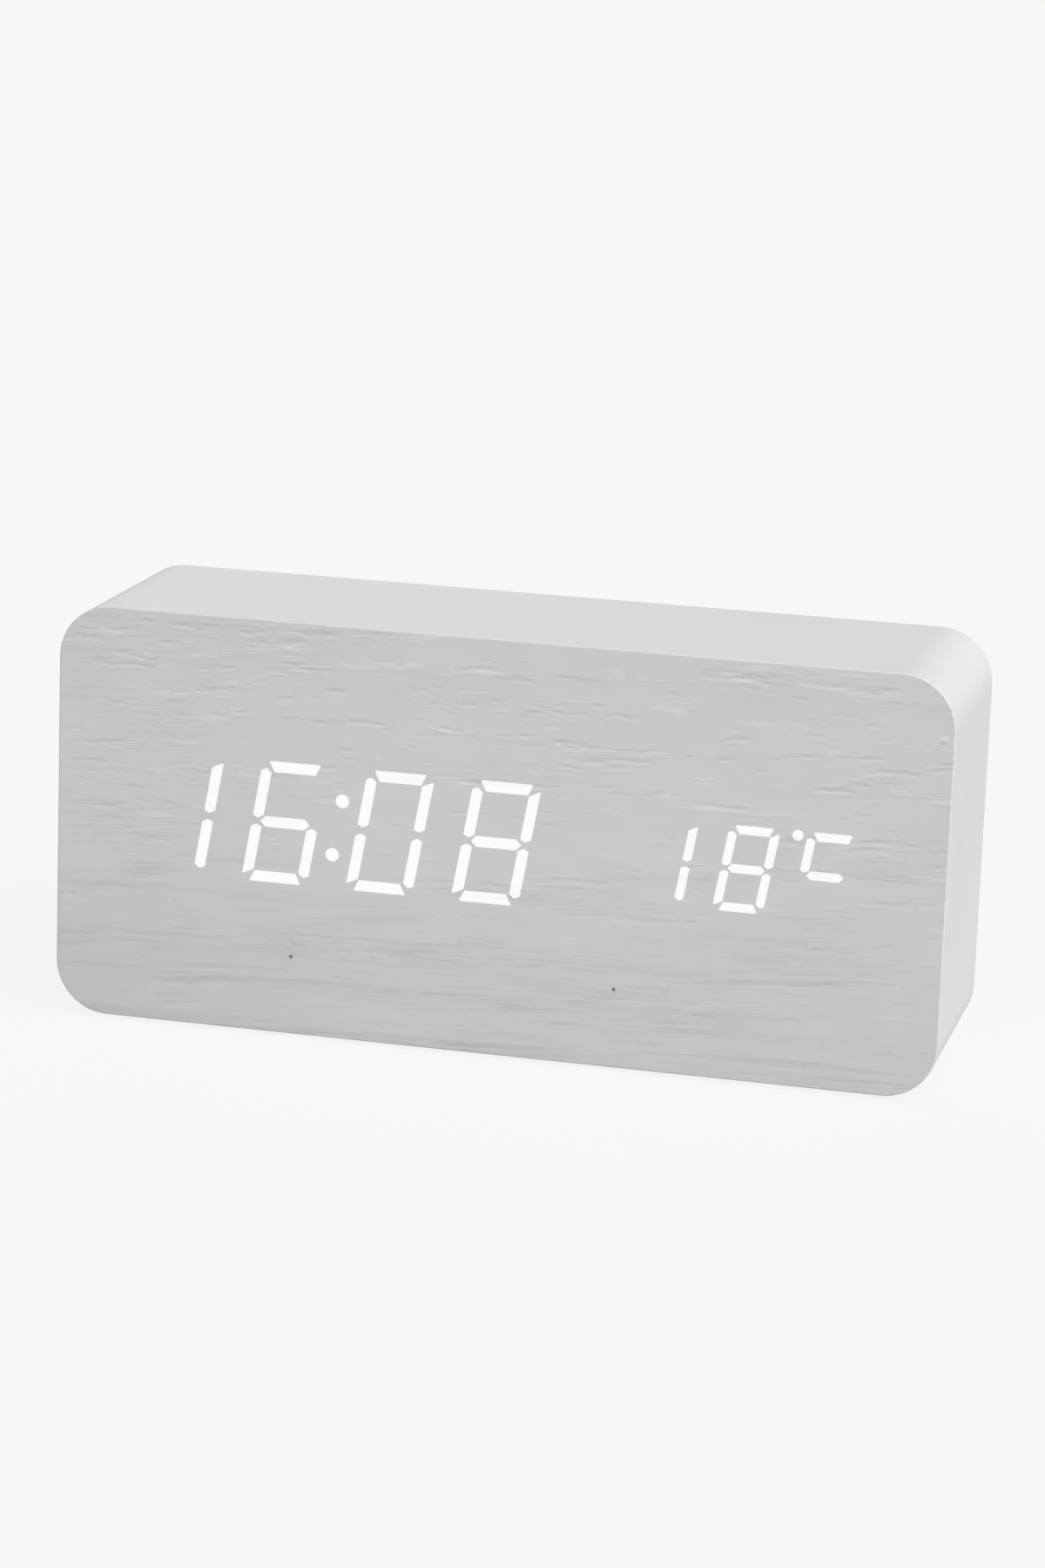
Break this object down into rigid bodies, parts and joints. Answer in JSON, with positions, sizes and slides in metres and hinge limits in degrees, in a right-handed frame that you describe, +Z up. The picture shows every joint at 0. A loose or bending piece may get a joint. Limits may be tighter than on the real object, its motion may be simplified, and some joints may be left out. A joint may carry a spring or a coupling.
{
  "type": "digital led desk clock",
  "caption": "White wood-look box clock for a desk, with slanted light digits for time and temperature shining through its front sheet, and keys and a battery door behind.",
  "frame": {"origin": "on the resting plane, under the middle of the case", "axes": "+X to the right seen from the front, +Y to the rear, +Z up"},
  "size_m": [0.15, 0.04, 0.0708],
  "materials": {
    "veneer": "white-washed fine grain, satin",
    "wrap": "white film with a faint grain, satin",
    "fibreboard": "raw routed fibreboard",
    "lit_segment": "glowing white stretch of the front sheet",
    "shield_plastic": "moulded white",
    "clear_fill": "cast milky resin",
    "lamp_chip": "phosphor over a white chip",
    "circuit_board": "solder-resist green",
    "steel_screw": "zinc-plated",
    "sensor_can": "drawn can",
    "dark_resin": "moulded resin",
    "connector_plastic": "natural nylon",
    "ribbon": "grey ribbon insulation",
    "switch_plastic": "moulded black",
    "socket_plastic": "moulded black",
    "buzzer_plastic": "moulded black",
    "contact_metal": "nickel-plated spring strip",
    "cover_plastic": "fine spark-eroded texture",
    "cell_jacket": "plain printed jacket",
    "red_wire": "wire insulation",
    "black_wire": "wire insulation",
    "button_plastic": "satin moulded grey",
    "pad_rubber": "soft pad"
  },
  "bodies": {
    "clock_body": {"front_veneer": "veneer", "side_wrap": "wrap", "case_shell": "fibreboard", "lit_time_digits": "lit_segment", "lit_colon": "lit_segment", "lit_temperature": "lit_segment", "segment_shield": "shield_plastic", "time_segment_guides": "clear_fill", "temperature_segment_guides": "clear_fill", "segment_leds": "lamp_chip", "display_board": "circuit_board", "control_board": "circuit_board", "display_screws": "steel_screw", "control_screws": "steel_screw", "cover_screws": "steel_screw", "tray_screws": "steel_screw", "microphone": "sensor_can", "clock_crystal": "sensor_can", "light_sensor": "dark_resin", "driver_chip": "dark_resin", "chip_resistors": "dark_resin", "temperature_sensor": "dark_resin", "display_connector": "connector_plastic", "control_connector": "connector_plastic", "link_cable": "ribbon", "switch_housings": "switch_plastic", "power_socket": "socket_plastic", "buzzer": "buzzer_plastic", "power_socket_pin": "contact_metal", "battery_contacts": "contact_metal", "battery_leaf_springs": "contact_metal", "rear_cover": "cover_plastic", "battery_tray": "cover_plastic", "battery_cells": "cell_jacket", "positive_lead": "red_wire", "negative_lead": "black_wire", "foot_pads": "pad_rubber"},
    "set_key": {"set_button": "button_plastic", "set_switch_stem": "switch_plastic"},
    "up_key": {"up_button": "button_plastic", "up_switch_stem": "switch_plastic"},
    "down_key": {"down_button": "button_plastic", "down_switch_stem": "switch_plastic"},
    "door": {"battery_door": "cover_plastic"}
  },
  "joints": [
    {"name": "set_press", "type": "slide", "parent": "clock_body", "child": "set_key", "axis": [0, -1, 0], "range_m": [0, 0.0005], "stiffness_N_per_m": 1500},
    {"name": "up_press", "type": "slide", "parent": "clock_body", "child": "up_key", "axis": [0, -1, 0], "range_m": [0, 0.0005], "stiffness_N_per_m": 1500},
    {"name": "down_press", "type": "slide", "parent": "clock_body", "child": "down_key", "axis": [0, -1, 0], "range_m": [0, 0.0005], "stiffness_N_per_m": 1500},
    {"name": "door_hinge", "type": "hinge", "parent": "clock_body", "child": "door", "pos_m": [0.0273, 0.0168, 0.0536], "axis": [1, 0, 0], "range_deg": [0, 90]}
  ]
}
